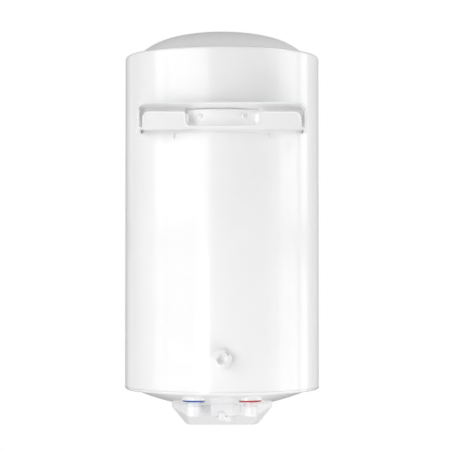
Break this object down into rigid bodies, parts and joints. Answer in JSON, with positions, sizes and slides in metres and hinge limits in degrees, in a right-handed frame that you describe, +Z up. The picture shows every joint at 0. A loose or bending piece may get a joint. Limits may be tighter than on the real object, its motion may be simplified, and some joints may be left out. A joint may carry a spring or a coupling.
{
  "type": "tank water heater",
  "caption": "Wall-hung electric storage water heater: white cylindrical tank with pressed-steel wall bracket, stand-off foot, two capped pipes and a bottom electrics cover.",
  "frame": {"origin": "middle of the bracket's centre strip, on its wall face, in the plane of the wall", "axes": "+Y points out of the bracket into the wall, +Z up along the tank, X across the back"},
  "size_m": [0.353, 0.378, 0.7118],
  "materials": {
    "white_enamelled_steel": "glossy white paint",
    "white_plastic": "glossy moulded",
    "blue_plastic": "moulded",
    "red_plastic": "moulded",
    "zinc_screws": "zinc plated",
    "plain_steel": "turned",
    "tank_enamel": "glass enamel",
    "foam": "rigid foam",
    "copper": "bright drawn",
    "lead_insulation": "smooth",
    "magnesium": "cast",
    "rubber": "matt",
    "lamp_lens": "translucent",
    "dark_plastic": "moulded"
  },
  "bodies": {
    "heater_body": {"anode_nut": "zinc_screws", "anode_rod": "magnesium", "bottom_cap": "white_plastic", "bracket_saddle": "white_enamelled_steel", "bracket_screw_left": "zinc_screws", "bracket_screw_right": "zinc_screws", "cable_clamp": "white_enamelled_steel", "cable_grommet": "rubber", "clamp_screw": "zinc_screws", "cover_screw_left": "zinc_screws", "cover_screw_right": "zinc_screws", "earth_lead": "lead_insulation", "electrics_cover": "white_plastic", "flange_bolt_1": "zinc_screws", "flange_bolt_2": "zinc_screws", "flange_bolt_3": "zinc_screws", "flange_bolt_4": "zinc_screws", "flange_bolt_5": "zinc_screws", "flange_gasket": "rubber", "flange_plate": "plain_steel", "foot_base": "white_plastic", "heating_element": "copper", "inlet_baffle": "white_plastic", "inlet_pipe": "plain_steel", "inlet_ring": "blue_plastic", "inner_tank": "tank_enamel", "insulation_foam": "foam", "live_lead": "lead_insulation", "neutral_lead": "lead_insulation", "outer_jacket": "white_enamelled_steel", "outlet_pipe": "plain_steel", "outlet_ring": "red_plastic", "pilot_lamp_holder": "dark_plastic", "pilot_lamp_lens": "lamp_lens", "sensor_pocket": "copper", "terminal_block": "dark_plastic", "thermal_cutout": "dark_plastic", "thermostat_body": "dark_plastic", "thermostat_capillary": "copper", "top_cap": "white_plastic", "wall_bracket": "white_enamelled_steel"},
    "foot_carrier": {"foot_pad": "white_plastic"},
    "foot_screw": {"foot_knob": "white_plastic"},
    "thermostat_dial": {"temperature_knob": "white_plastic", "knob_spindle": "plain_steel"},
    "cold_cap": {"inlet_thread_cap": "white_plastic"},
    "hot_cap": {"outlet_thread_cap": "white_plastic"}
  },
  "joints": [
    {"name": "foot_slide", "type": "slide", "parent": "heater_body", "child": "foot_carrier", "axis": [0, 1, 0], "range_m": [0, 0.006]},
    {"name": "foot_spin", "type": "hinge", "parent": "foot_carrier", "child": "foot_screw", "pos_m": [0, -0.0115, -0.3965], "axis": [0, 1, 0], "range_deg": [0, 720]},
    {"name": "dial_turn", "type": "hinge", "parent": "heater_body", "child": "thermostat_dial", "pos_m": [0, -0.3065, -0.5017], "axis": [0, -1, 0], "range_deg": [0, 270]},
    {"name": "cold_cap_pull", "type": "slide", "parent": "heater_body", "child": "cold_cap", "axis": [0, 0, -1], "range_m": [0, 0.025]},
    {"name": "hot_cap_pull", "type": "slide", "parent": "heater_body", "child": "hot_cap", "axis": [0, 0, -1], "range_m": [0, 0.025]}
  ],
  "couplings": [
    {"joint": "foot_spin", "follows": "foot_slide", "rad_per_m": 2094.4}
  ]
}
